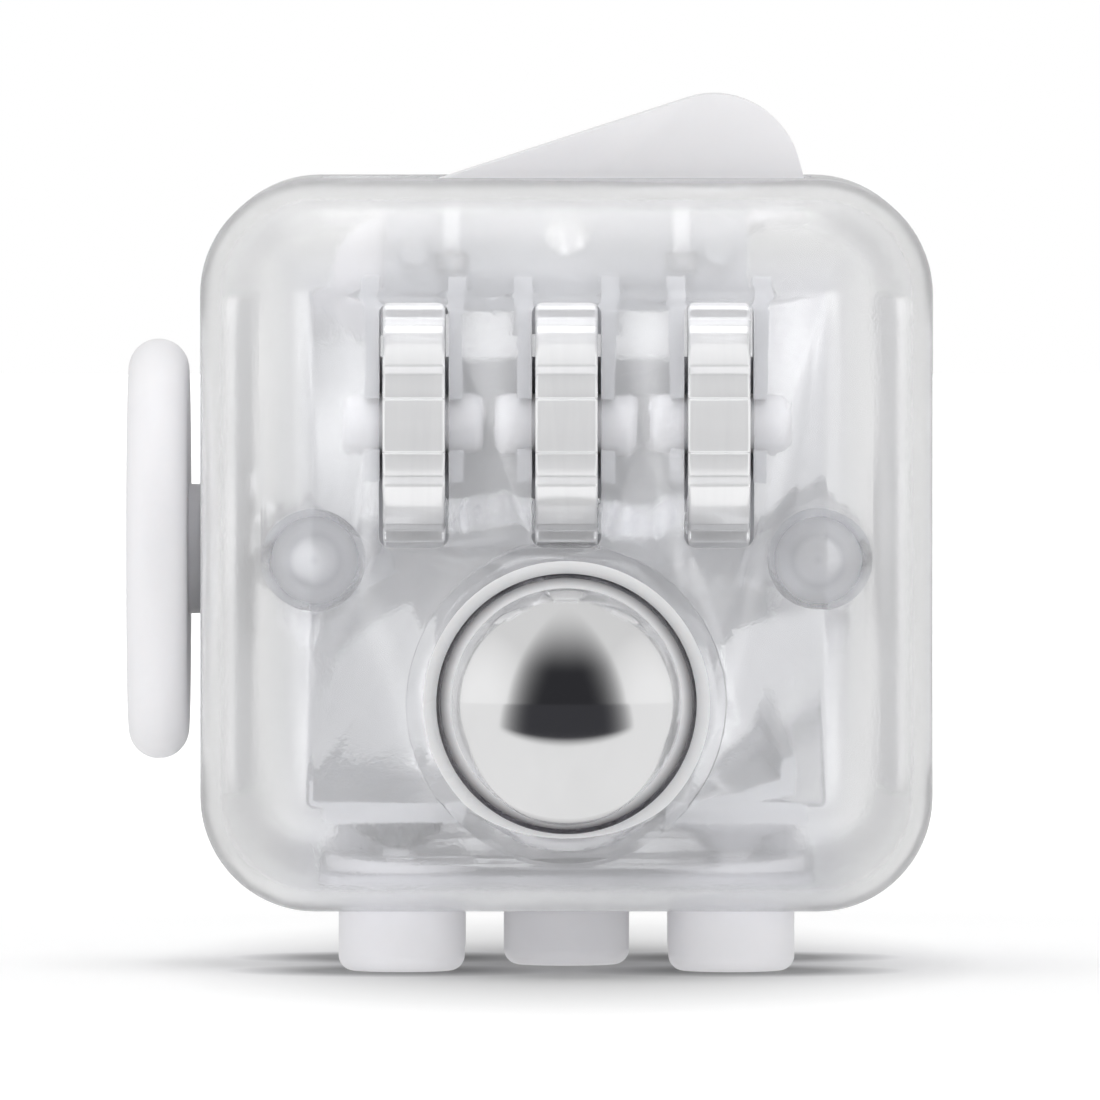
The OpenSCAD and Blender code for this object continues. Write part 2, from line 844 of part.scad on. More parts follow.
module joystick_stick() {
    color("white") raised() translate([0, stick_y, 0]) {
        intersection() {
            difference() {
                sphere(dome_r);
                sphere(dome_r - dome_t);
            }
            rod_y(dome_r, dome_r * cos(dome_angle), dome_r);
        }
        rod_y(neck_r, dome_r - dome_t, pad_y - stick_y - seat);
        rod_y(rod_r, 0, pad_y - stick_y + 0.5);
        rod_y(rod_r - 0.3, foot_y - stick_y, 0);
        rod_y(foot_r, foot_y - stick_y, foot_y - stick_y + foot_t);
        sphere(stick_hub_r);
        rod_z(trunnion_r, -gimbal_out + 0.1, gimbal_out - 0.1);
    }
}

// A ring that tips up and down in the base while the stick tips sideways in it
module joystick_gimbal() {
    color("gainsboro") raised() translate([0, stick_y, 0]) difference() {
        union() {
            rod_y(gimbal_out, -gimbal_t / 2, gimbal_t / 2);
            rod_x(trunnion_r, -ear_in - ear_t, ear_in + ear_t);
        }
        rod_y(gimbal_in, -gimbal_t, gimbal_t);
        rod_z(trunnion_r + fit, -gimbal_out - 1, gimbal_out + 1);
    }
}

module joystick_spring() {
    bottom = base_y + base_t + seat;
    color("silver") raised() translate([0, bottom, 0]) rotate([-90, 0, 0])
        coil(1.6, 4, foot_y - seat - bottom);
}

module joystick_base() {
    color("gainsboro") raised() difference() {
        union() {
            extrude_y(base_y, base_y + base_t) {
                square([2 * (ear_in + ear_t), 9], center = true);
                translate([-post_x, post_z - post_r]) square([2 * post_x, 2 * post_r]);
                for (x = [-post_x, post_x])
                    translate([x, post_z]) circle(post_r);
            }
            for (s = [-1, 1])
                translate([s * (ear_in + ear_t / 2), 0, 0]) extrude_x(-ear_t / 2, ear_t / 2) {
                    translate([base_y, -ear_w / 2]) square([stick_y - base_y, ear_w]);
                    translate([stick_y, 0]) circle(ear_w / 2);
                }
        }
        translate([0, stick_y, 0]) rod_x(trunnion_r + fit, -ear_in - ear_t - 1, ear_in + ear_t + 1);
        for (x = [-post_x, post_x])
            translate([x, 0, post_z]) rod_y(screw_r + 0.1, base_y - 1, base_y + base_t + 1);
    }
}

module base_screws() {
    color("silver") raised() for (x = [-post_x, post_x])
        translate([x, base_y - seat, post_z]) rotate([90, 0, 0]) screw(screw_len - 1);
}

front_shell();
rear_cover();
button_plate();
spin_plate();
spin_bush();
thumb_plate();
gear_bracket();
bracket_screws();
click_spring();
gear_at(0);  // gear_left
gear_at(1);  // gear_middle
gear_at(2);  // gear_right
axle_at(0);  // axle_left
axle_at(1);  // axle_middle
axle_at(2);  // axle_right
ball();
ball_ring();
ball_seat();
ball_spring();
rocker();
rocker_plunger();
rocker_spring();
rocker_cradle();
rocker_pin();
spin_disc();
spin_washer();
spin_screw();
joystick_pad();
joystick_stick();
joystick_gimbal();
joystick_spring();
joystick_base();
base_screws();
button_at(0);  // button_middle
button_at(1);  // button_front_left
button_at(2);  // button_front_right
button_at(3);  // button_rear_left
button_at(4);  // button_rear_right
button_board();
click_dome(0);  // click_dome_middle
click_dome(1);  // click_dome_front_left
click_dome(4);  // click_dome_rear_right
soft_pad(2);  // soft_pad_front_right
soft_pad(3);  // soft_pad_rear_left
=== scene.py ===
import json
import math
import bmesh
import bpy
import numpy as np
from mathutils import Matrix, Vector


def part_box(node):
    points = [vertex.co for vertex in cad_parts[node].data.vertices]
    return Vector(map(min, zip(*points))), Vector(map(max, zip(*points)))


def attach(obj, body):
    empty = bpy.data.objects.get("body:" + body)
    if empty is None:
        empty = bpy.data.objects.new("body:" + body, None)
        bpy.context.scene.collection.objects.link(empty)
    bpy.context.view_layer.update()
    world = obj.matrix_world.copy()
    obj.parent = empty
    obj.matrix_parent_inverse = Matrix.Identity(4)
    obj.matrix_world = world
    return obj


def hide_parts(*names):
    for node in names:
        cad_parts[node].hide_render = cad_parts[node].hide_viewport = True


# A clear fidget cube on a white table. All lengths are in metres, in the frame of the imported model.
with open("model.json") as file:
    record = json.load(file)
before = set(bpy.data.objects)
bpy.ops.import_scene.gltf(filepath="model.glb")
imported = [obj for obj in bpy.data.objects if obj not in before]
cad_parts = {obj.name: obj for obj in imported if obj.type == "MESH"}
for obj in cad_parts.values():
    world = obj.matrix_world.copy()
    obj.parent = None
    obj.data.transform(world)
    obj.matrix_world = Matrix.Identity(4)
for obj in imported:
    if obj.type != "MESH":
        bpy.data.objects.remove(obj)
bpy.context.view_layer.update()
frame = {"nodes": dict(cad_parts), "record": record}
nodes = frame["nodes"]
record = frame["record"]
bodyOf = {node: body for body, members in record["behaviour"]["bodies"].items() for node in members}
slotOf = {part["node"]: part["material_slot"] for part in record["subparts"]}
mm = 0.001


# Shader node helpers
def newTree(name):
    material = bpy.data.materials.new(name)
    material.use_nodes = True
    tree = material.node_tree
    tree.nodes.clear()
    return material, tree


def addNode(tree, kind, **settings):
    node = tree.nodes.new(kind)
    for key, value in settings.items():
        setattr(node, key, value)
    return node


def setInputs(node, values):
    for key, value in values.items():
        node.inputs[key].default_value = value
    return node


def addMath(tree, operation, a, b=0.5, clamp=False):
    node = addNode(tree, "ShaderNodeMath", operation=operation, use_clamp=clamp)
    for index, value in enumerate((a, b)):
        if isinstance(value, bpy.types.NodeSocket):
            tree.links.new(value, node.inputs[index])
        else:
            node.inputs[index].default_value = value
    return node.outputs[0]


# Root of a squared plus b squared
def addLength(tree, a, b):
    squares = addMath(tree, "ADD", addMath(tree, "MULTIPLY", a, a), addMath(tree, "MULTIPLY", b, b))
    return addMath(tree, "SQRT", squares)


def addRange(tree, value, fromLow, fromHigh, toLow, toHigh):
    node = addNode(tree, "ShaderNodeMapRange")
    tree.links.new(value, node.inputs["Value"])
    setInputs(node, {"From Min": fromLow, "From Max": fromHigh, "To Min": toLow, "To Max": toHigh})
    return node.outputs["Result"]


def addMix(tree, factor, colorA, colorB):
    node = addNode(tree, "ShaderNodeMix", data_type="RGBA")
    tree.links.new(factor, node.inputs["Factor"])
    for socket, value in ((node.inputs[6], colorA), (node.inputs[7], colorB)):
        if isinstance(value, bpy.types.NodeSocket):
            tree.links.new(value, socket)
        else:
            socket.default_value = (*value, 1)
    return node.outputs[2]


def newGroup(name, inputs, outputs):
    group = bpy.data.node_groups.new(name, "ShaderNodeTree")
    for label, kind, default in inputs:
        socket = group.interface.new_socket(label, in_out="INPUT", socket_type=kind)
        if default is not None:
            socket.default_value = default
    for label, kind in outputs:
        group.interface.new_socket(label, in_out="OUTPUT", socket_type=kind)
    return group, addNode(group, "NodeGroupInput"), addNode(group, "NodeGroupOutput")


floatSocket, vectorSocket = "NodeSocketFloat", "NodeSocketVector"


# Moulded plastic: a faint orange peel from the tool, broad flow marks and fine specks.
def makeMouldedGroup():
    group, given, made = newGroup("mouldedSkin", [
        ("Vector", vectorSocket, None), ("Peel Scale", floatSocket, 900.0),
        ("Flow Scale", floatSocket, 90.0), ("Speck Scale", floatSocket, 5000.0)],
        [("Height", floatSocket), ("Flow", floatSocket), ("Specks", floatSocket)])
    peel = addNode(group, "ShaderNodeTexNoise")
    flow = addNode(group, "ShaderNodeTexNoise")
    speck = addNode(group, "ShaderNodeTexNoise")
    layers = ((peel, "Peel Scale", 2), (flow, "Flow Scale", 4), (speck, "Speck Scale", 2))
    for noise, scale, detail in layers:
        group.links.new(given.outputs["Vector"], noise.inputs["Vector"])
        group.links.new(given.outputs[scale], noise.inputs["Scale"])
        noise.inputs["Detail"].default_value = detail
    flow.inputs["Distortion"].default_value = 1.2
    height = addMath(group, "ADD", addMath(group, "MULTIPLY", peel.outputs["Fac"], 0.7),
                     addMath(group, "MULTIPLY", speck.outputs["Fac"], 0.3))
    group.links.new(height, made.inputs["Height"])
    group.links.new(addRange(group, flow.outputs["Fac"], 0.3, 0.7, 0, 1), made.inputs["Flow"])
    group.links.new(addRange(group, speck.outputs["Fac"], 0.62, 0.75, 0, 1), made.inputs["Specks"])
    return group


# Polished metal: fine rubbing lines along one direction and soft smudges.
def makePolishGroup():
    group, given, made = newGroup("polishMarks", [
        ("Vector", vectorSocket, None), ("Line Scale", floatSocket, 2500.0),
        ("Smudge Scale", floatSocket, 220.0)],
        [("Lines", floatSocket), ("Smudges", floatSocket)])
    lines = addNode(group, "ShaderNodeTexNoise")
    smudges = addNode(group, "ShaderNodeTexNoise")
    group.links.new(given.outputs["Vector"], lines.inputs["Vector"])
    group.links.new(given.outputs["Line Scale"], lines.inputs["Scale"])
    group.links.new(given.outputs["Vector"], smudges.inputs["Vector"])
    group.links.new(given.outputs["Smudge Scale"], smudges.inputs["Scale"])
    setInputs(lines, {"Detail": 3.0, "Roughness": 0.6})
    setInputs(smudges, {"Detail": 5.0, "Roughness": 0.55, "Distortion": 0.8})
    group.links.new(lines.outputs["Fac"], made.inputs["Lines"])
    group.links.new(addRange(group, smudges.outputs["Fac"], 0.35, 0.75, 0, 1), made.inputs["Smudges"])
    return group


# Painted shade over the two screw bosses where they meet the front wall: grey rings at two radii and a dot
# at the centre, standing in for the boss outlines seen through the clear wall, and the disc inside the outer
# ring.
def makeRingGroup():
    group, given, made = newGroup("paintedBossRings", [
        ("Vector", vectorSocket, None), ("Centre X", floatSocket, 0.011), ("Centre Z", floatSocket, 0.019),
        ("Outer", floatSocket, 0.0019), ("Inner", floatSocket, 0.0011), ("Line", floatSocket, 0.0003),
        ("Front", floatSocket, -0.015)],
        [("Rings", floatSocket), ("Disc", floatSocket)])
    split = addNode(group, "ShaderNodeSeparateXYZ")
    group.links.new(given.outputs["Vector"], split.inputs[0])
    x = addMath(group, "SUBTRACT", addMath(group, "ABSOLUTE", split.outputs["X"]), given.outputs["Centre X"])
    z = addMath(group, "SUBTRACT", split.outputs["Z"], given.outputs["Centre Z"])
    radius = addLength(group, x, z)
    ahead = addMath(group, "LESS_THAN", split.outputs["Y"], given.outputs["Front"])

    def line(off):  # 1 at the middle of a line, 0 at its edge
        share = addMath(group, "DIVIDE", off, given.outputs["Line"])
        return addMath(group, "SUBTRACT", 1.0, share, clamp=True)

    def band(at):
        return line(addMath(group, "ABSOLUTE", addMath(group, "SUBTRACT", radius, at)))

    bands = addMath(group, "MAXIMUM", band(given.outputs["Outer"]), band(given.outputs["Inner"]))
    rings = addMath(group, "MAXIMUM", bands, line(radius))
    group.links.new(addMath(group, "MULTIPLY", rings, ahead), made.inputs["Rings"])
    inside = addMath(group, "LESS_THAN", radius, given.outputs["Outer"])
    group.links.new(addMath(group, "MULTIPLY", inside, ahead), made.inputs["Disc"])
    return group


mouldedGroup = makeMouldedGroup()
ringGroup = makeRingGroup()
polishGroup = makePolishGroup()


def useGroup(tree, group, vector, values=None):
    node = addNode(tree, "ShaderNodeGroup", node_tree=group)
    tree.links.new(vector, node.inputs["Vector"])
    setInputs(node, values or {})
    return node


def objectVector(tree, stretch=(1, 1, 1)):
    coordinates = addNode(tree, "ShaderNodeTexCoord")
    mapping = addNode(tree, "ShaderNodeMapping")
    mapping.inputs["Scale"].default_value = stretch
    tree.links.new(coordinates.outputs["Object"], mapping.inputs["Vector"])
    return mapping.outputs["Vector"]


def addBump(tree, height, look, shader):
    bump = addNode(tree, "ShaderNodeBump")
    setInputs(bump, {"Strength": look["bump"], "Distance": look["bumpDepth"]})
    tree.links.new(height, bump.inputs["Height"])
    tree.links.new(bump.outputs["Normal"], shader.inputs["Normal"])


# The first shader, or the second for the rays that the Light Path output names
def mixByRay(tree, ray, first, second):
    path = addNode(tree, "ShaderNodeLightPath")
    mix = addNode(tree, "ShaderNodeMixShader")
    tree.links.new(path.outputs[ray], mix.inputs["Fac"])
    tree.links.new(first, mix.inputs[1])
    tree.links.new(second, mix.inputs[2])
    return mix.outputs["Shader"]


def addOutput(tree, surface, kind="ShaderNodeOutputMaterial"):
    tree.links.new(surface, addNode(tree, kind).inputs["Surface"])


clearLook = {
    "color": (0.95, 0.952, 0.965), "cloudColor": (0.88, 0.885, 0.9), "rimShadeColor": (0.55, 0.555, 0.575),
    "ringShadeColor": (0.8, 0.805, 0.82), "ringHaze": 0.22,
    # Painted highlight: the shell turns whiter in bands at its sides and under its roof
    "sideHighlightBand": (11.5 * mm, 13.5 * mm), "roofHighlightBand": (31.2 * mm, 33 * mm), "highlightBandColor": (1, 1, 1),
    "ior": 1.4, "transmission": 0.84, "roughLow": 0.1, "roughHigh": 0.2, "shadowTint": (0.93, 0.93, 0.94),
    "peelScale": 5200.0, "flowScale": 110.0, "bump": 0.6, "bumpDepth": 0.012 * mm,
    # Painted shade: the colour turns grey at the rim, where the surface turns away from view
    "rimShadeBand": (0.6, 0.95),
}


# Clear frosted plastic. Lamp light passes straight through it, so that the inside is lit.
def makeClearPlastic(name, look, rings=None):
    material, tree = newTree(name)
    vector = objectVector(tree)
    skin = useGroup(tree, mouldedGroup, vector, {
        "Peel Scale": look["peelScale"], "Flow Scale": look["flowScale"]})
    shader = addNode(tree, "ShaderNodeBsdfPrincipled")
    setInputs(shader, {"IOR": look["ior"], "Transmission Weight": look["transmission"]})
    color = addMix(tree, skin.outputs["Flow"], look["color"], look["cloudColor"])
    place = addNode(tree, "ShaderNodeSeparateXYZ")
    tree.links.new(vector, place.inputs[0])
    # Painted highlight: whiter colour in bands towards the sides and the roof
    sideHighlight = addRange(tree, addMath(tree, "ABSOLUTE", place.outputs["X"]), *look["sideHighlightBand"], 0, 1)
    roofHighlight = addRange(tree, place.outputs["Z"], *look["roofHighlightBand"], 0, 1)
    color = addMix(tree, addMath(tree, "MAXIMUM", sideHighlight, roofHighlight), color, look["highlightBandColor"])
    # Painted shade: a grey rim round the outline, where the surface turns away from view
    facing = addNode(tree, "ShaderNodeLayerWeight")
    rim = addRange(tree, facing.outputs["Facing"], *look["rimShadeBand"], 0, 1)
    rough = addRange(tree, skin.outputs["Flow"], 0, 1, look["roughLow"], look["roughHigh"])
    # Painted shade: grey lines over the screw bosses, and a rougher disc inside the outer ring
    if rings:
        bossShade = useGroup(tree, ringGroup, vector, rings)
        color = addMix(tree, bossShade.outputs["Rings"], color, look["ringShadeColor"])
        haze = addMath(tree, "MULTIPLY", bossShade.outputs["Disc"], look["ringHaze"])
        rough = addMath(tree, "ADD", rough, haze)
    tree.links.new(addMix(tree, rim, color, look["rimShadeColor"]), shader.inputs["Base Color"])
    tree.links.new(rough, shader.inputs["Roughness"])
    addBump(tree, skin.outputs["Height"], look, shader)
    through = addNode(tree, "ShaderNodeBsdfTransparent")
    through.inputs["Color"].default_value = (*look["shadowTint"], 1)
    addOutput(tree, mixByRay(tree, "Is Shadow Ray", shader.outputs["BSDF"], through.outputs["BSDF"]))
    return material


# Opaque moulded plastic or rubber
def makePlastic(name, look):
    material, tree = newTree(name)
    skin = useGroup(tree, mouldedGroup, objectVector(tree), {
        "Peel Scale": look["peelScale"], "Flow Scale": look["flowScale"],
        "Speck Scale": look["speckScale"]})
    shader = addNode(tree, "ShaderNodeBsdfPrincipled")
    setInputs(shader, {"IOR": 1.49, "Coat Weight": look["coat"], "Coat Roughness": 0.15,
                       "Subsurface Weight": look["glow"], "Subsurface Scale": 1.2 * mm})
    shader.inputs["Subsurface Radius"].default_value = (1.0, 0.9, 0.85)
    color = addMix(tree, skin.outputs["Flow"], look["color"], look["cloudColor"])
    speckled = addMix(tree, addMath(tree, "MULTIPLY", skin.outputs["Specks"], look["speckShare"]),
                      color, look["speckColor"])
    tree.links.new(speckled, shader.inputs["Base Color"])
    rough = addRange(tree, skin.outputs["Flow"], 0, 1, look["roughLow"], look["roughHigh"])
    tree.links.new(rough, shader.inputs["Roughness"])
    addBump(tree, skin.outputs["Height"], look, shader)
    addOutput(tree, shader.outputs["BSDF"])
    return material


# Plated or bare metal. The lines run across the direction that the vector is stretched in.
def makeMetal(name, look):
    material, tree = newTree(name)
    marks = useGroup(tree, polishGroup, objectVector(tree, look["stretch"]), {
        "Line Scale": look["lineScale"], "Smudge Scale": look["smudgeScale"]})
    shader = addNode(tree, "ShaderNodeBsdfPrincipled")
    shader.inputs["Metallic"].default_value = look["metallic"]
    color = addMix(tree, marks.outputs["Smudges"], look["color"], look["dullColor"])
    # Painted shade at the rim, where a look asks for it: the colour darkens as the surface turns away
    if "rimShadeColor" in look:
        facing = addNode(tree, "ShaderNodeLayerWeight")
        rim = addRange(tree, facing.outputs["Facing"], look["rimShadeFrom"], look["rimShadeTo"], 0, 1)
        color = addMix(tree, rim, color, look["rimShadeColor"])
    tree.links.new(color, shader.inputs["Base Color"])
    worn = addMath(tree, "MULTIPLY", marks.outputs["Smudges"], look["roughSpread"])
    lined = addMath(tree, "MULTIPLY", marks.outputs["Lines"], look["lineRough"])
    rough = addMath(tree, "ADD", addMath(tree, "ADD", worn, lined), look["rough"])
    tree.links.new(rough, shader.inputs["Roughness"])
    addBump(tree, marks.outputs["Lines"], look, shader)
    addOutput(tree, shader.outputs["BSDF"])
    return material


# Painted highlight: opaque white for the clear shell's lip round the ball, its front edge bevels and the
# clip feet, where the clear plastic catches light
edgeHighlightLook = {
    "color": (0.94, 0.94, 0.95), "cloudColor": (0.9, 0.9, 0.915), "speckColor": (0.85, 0.85, 0.87),
    "speckShare": 0.05, "peelScale": 1500.0, "flowScale": 120.0, "speckScale": 9000.0,
    "coat": 0.3, "glow": 0.4,
    "roughLow": 0.25, "roughHigh": 0.35, "bump": 0.1, "bumpDepth": 0.01 * mm,
}
whiteLook = {
    "color": (0.86, 0.855, 0.87), "cloudColor": (0.83, 0.825, 0.845), "speckColor": (0.7, 0.7, 0.72),
    "speckShare": 0.05, "peelScale": 1500.0, "flowScale": 120.0, "speckScale": 9000.0,
    "coat": 0.15, "glow": 0.15,
    "roughLow": 0.3, "roughHigh": 0.42, "bump": 0.12, "bumpDepth": 0.01 * mm,
}
innerLook = {
    "color": (0.62, 0.625, 0.645), "cloudColor": (0.54, 0.545, 0.565), "speckColor": (0.6, 0.6, 0.62),
    "speckShare": 0.08, "peelScale": 1200.0, "flowScale": 150.0, "speckScale": 7000.0,
    "coat": 0.0, "glow": 0.2,
    "roughLow": 0.35, "roughHigh": 0.5, "bump": 0.2, "bumpDepth": 0.02 * mm,
}
bearingLook = {**innerLook, "color": (0.82, 0.81, 0.78), "cloudColor": (0.78, 0.77, 0.74),
               "roughLow": 0.22, "roughHigh": 0.3}
boardLook = {**innerLook, "color": (0.76, 0.765, 0.78), "cloudColor": (0.7, 0.705, 0.72)}
rubberLook = {**innerLook, "color": (0.74, 0.74, 0.765), "cloudColor": (0.7, 0.7, 0.73),
              "peelScale": 3500.0, "roughLow": 0.6, "roughHigh": 0.75, "bump": 0.5,
              "bumpDepth": 0.03 * mm, "glow": 0.1}
# Painted shade: a dark grey clear for the clip arms, which show as dark lines
armShadeLook = {**clearLook, "color": (0.45, 0.455, 0.47), "cloudColor": (0.4, 0.405, 0.42)}
plateLook = {**clearLook, "color": (0.9, 0.9, 0.925), "cloudColor": (0.84, 0.84, 0.87),
             "transmission": 0.35, "roughLow": 0.3, "roughHigh": 0.42}
gearLook = {
    "color": (0.96, 0.962, 0.97), "dullColor": (0.92, 0.923, 0.935), "stretch": (12, 1, 1),
    "metallic": 0.36,
    "lineScale": 900.0, "smudgeScale": 150.0, "rough": 0.12, "roughSpread": 0.05, "lineRough": 0.04,
    "bump": 0.01, "bumpDepth": 0.002 * mm,
}
ballLook = {
    "color": (0.95, 0.95, 0.955), "dullColor": (0.9, 0.9, 0.905), "stretch": (1, 1, 1), "metallic": 1,
    # Painted dark reflection: the colour turns near black towards the ball's rim
    "rimShadeColor": (0.13, 0.12, 0.13), "rimShadeFrom": 0.44, "rimShadeTo": 0.6,
    "lineScale": 3000.0, "smudgeScale": 160.0, "rough": 0.07, "roughSpread": 0.03, "lineRough": 0.02,
    "bump": 0.02, "bumpDepth": 0.002 * mm,
}
steelLook = {**gearLook, "metallic": 1, "color": (0.62, 0.62, 0.63), "dullColor": (0.5, 0.5, 0.51),
             "rough": 0.2, "lineRough": 0.12, "bump": 0.15, "bumpDepth": 0.01 * mm}
springLook = {**steelLook, "color": (0.55, 0.555, 0.565), "dullColor": (0.45, 0.45, 0.46)}

finishes = {
    "clear_shell": makeClearPlastic("frostedClearShell", clearLook, {
        "Centre X": 11.3 * mm, "Centre Z": 18.75 * mm, "Outer": 1.95 * mm, "Inner": 1.15 * mm,
        "Line": 0.28 * mm, "Front": -14 * mm}),
    "plate_plastic": makeClearPlastic("milkyFacePlate", plateLook),
    "inner_plastic": makePlastic("greyInnerPlastic", innerLook),
    "white_plastic": makePlastic("satinWhitePlastic", whiteLook),
    "bearing_plastic": makePlastic("naturalBearingPlastic", bearingLook),
    "soft_rubber": makePlastic("paleRubber", rubberLook),
    "gear_chrome": makeMetal("platedGear", gearLook),
    "ball_chrome": makeMetal("polishedBall", ballLook),
    "screw_steel": makeMetal("zincScrew", steelLook),
    "spring_steel": makeMetal("springSteel", springLook),
}
edgeHighlightFinish = makePlastic("paintedEdgeHighlight", edgeHighlightLook)
armShadeFinish = makeClearPlastic("clearArmPaintedShade", armShadeLook)
for node, part in nodes.items():
    part.data.materials.clear()
    part.data.materials.append(finishes[slotOf[node]])
boardFinish = makePlastic("paleBoardPlastic", boardLook)
for node in ("button_board", "joystick_base"):
    nodes[node].data.materials[0] = boardFinish
print("materials placed")


# A new piece that stands for a node: it takes over the node's body and slot
def placePiece(mesh, name, node):
    mesh.materials.clear()
    mesh.materials.append(finishes[slotOf[node]])
    mesh.polygons.foreach_set("use_smooth", np.ones(len(mesh.polygons), bool))
    mesh.update()
    piece = bpy.data.objects.new(name, mesh)
    bpy.context.scene.collection.objects.link(piece)
    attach(piece, bodyOf[node])
    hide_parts(node)
    return piece


edgeWidths = {"rocker": 0.55 * mm, "front_shell": 0.12 * mm}
edgeMarks = {
    "depth": 0.8 * mm, "longest": 14 * mm, "segments": 3, "angle": math.radians(32),
    "weld": 1e-7, "flat": math.radians(0.4),
}
lipHighlightMarks = {"reach": 0.3 * mm, "depth": 0.5 * mm, "lean": 0.96}
clipMarks = {
    "x": 5.2 * mm, "halfWidth": 0.7 * mm, "front": -8.6 * mm, "back": -6.4 * mm,
    "low": 31.5 * mm, "footTop": 32.55 * mm, "top": 34.8 * mm,
}


# Faces of the front shell with a finish of their own: 1, a painted highlight in opaque white, for the sloped
# lip around the ball, which leans away from straight ahead, and for the clip feet; 2, painted shade in a
# dark grey clear, for the clip arms above them
def markFaces(mesh):
    low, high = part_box("ball")
    centre = (low + high) / 2
    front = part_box("front_shell")[0][1]
    count = len(mesh.polygons)
    places = np.empty(count * 3)
    normals = np.empty(count * 3)
    mesh.polygons.foreach_get("center", places)
    mesh.polygons.foreach_get("normal", normals)
    places, normals = places.reshape(-1, 3), normals.reshape(-1, 3)
    radius = np.hypot(places[:, 0] - centre[0], places[:, 2] - centre[2])
    litLip = (radius < (high[2] - low[2]) / 2 + lipHighlightMarks["reach"]) & (places[:, 1] < front + lipHighlightMarks["depth"])
    litLip &= np.abs(normals[:, 1]) < lipHighlightMarks["lean"]
    outward = (places[:, 0] - centre[0]) * normals[:, 0] + (places[:, 2] - centre[2]) * normals[:, 2]
    litLip &= outward < 0
    clips = (np.abs(np.abs(places[:, 0]) - clipMarks["x"]) < clipMarks["halfWidth"])
    clips &= (places[:, 1] > clipMarks["front"]) & (places[:, 1] < clipMarks["back"])
    litFeet = clips & (places[:, 2] > clipMarks["low"]) & (places[:, 2] < clipMarks["footTop"])
    shadedArms = clips & (places[:, 2] >= clipMarks["footTop"]) & (places[:, 2] < clipMarks["top"])
    finish = np.where(litLip | litFeet, 1, np.where(shadedArms, 2, 0))
    mesh.polygons.foreach_set("material_index", finish.astype(np.int32))


# A copy of a node whose sharp edges are broken as a mould or a tumbler breaks them. Where a highlight finish
# is given, the short sharp edges at the front get it on their bevels as a painted highlight.
def breakEdges(node, width, highlightFinish=None):
    mesh = bpy.data.meshes.new(node + "_finished")
    shape = bmesh.new()
    shape.from_mesh(nodes[node].data)
    bmesh.ops.remove_doubles(shape, verts=shape.verts, dist=edgeMarks["weld"])
    bmesh.ops.dissolve_limit(shape, angle_limit=edgeMarks["flat"], verts=shape.verts, edges=shape.edges)
    if highlightFinish:
        weight = shape.edges.layers.float.new("bevel_weight_edge")
        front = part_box(node)[0][1] + edgeMarks["depth"]
        for edge in shape.edges:
            ahead = max(corner.co.y for corner in edge.verts) < front
            short = edge.calc_length() < edgeMarks["longest"]
            edge[weight] = float(ahead and short and edge.calc_face_angle(0) > edgeMarks["angle"])
    shape.to_mesh(mesh)
    shape.free()
    piece = placePiece(mesh, node + "_finished", node)
    if highlightFinish:
        mesh.materials.append(highlightFinish)
        mesh.materials.append(armShadeFinish)
        markFaces(mesh)
    for limit in ("WEIGHT", "ANGLE") if highlightFinish else ("ANGLE",):
        bevel = piece.modifiers.new(limit.lower() + "Edges", "BEVEL")
        bevel.width = width
        bevel.segments = edgeMarks["segments"]
        bevel.limit_method = limit
        bevel.angle_limit = edgeMarks["angle"]
        bevel.harden_normals = True
        # The front bevels take the painted highlight finish
        if limit == "WEIGHT":
            bevel.material = 1


for node, width in edgeWidths.items():
    breakEdges(node, width, edgeHighlightFinish if node == "front_shell" else None)
print("edges broken")


# Faces of a grid whose rows are closed loops: each quad joins a point and the next one round the
# loop to the same two on the row after it
def gridFaces(count, loop):
    row, column = np.meshgrid(np.arange(count - 1), np.arange(loop), indexing="ij")
    beside = (column + 1) % loop
    return np.stack([row * loop + column, (row + 1) * loop + column,
                     (row + 1) * loop + beside, row * loop + beside], axis=-1).reshape(-1, 4)


wheelLook = {
    "lands": 9, "share": 0.58, "valley": 0.5 * mm, "flank": 0.3, "round": 0.16 * mm,
    "hub": 1.7 * mm, "steps": 720, "roundSteps": 6,
}


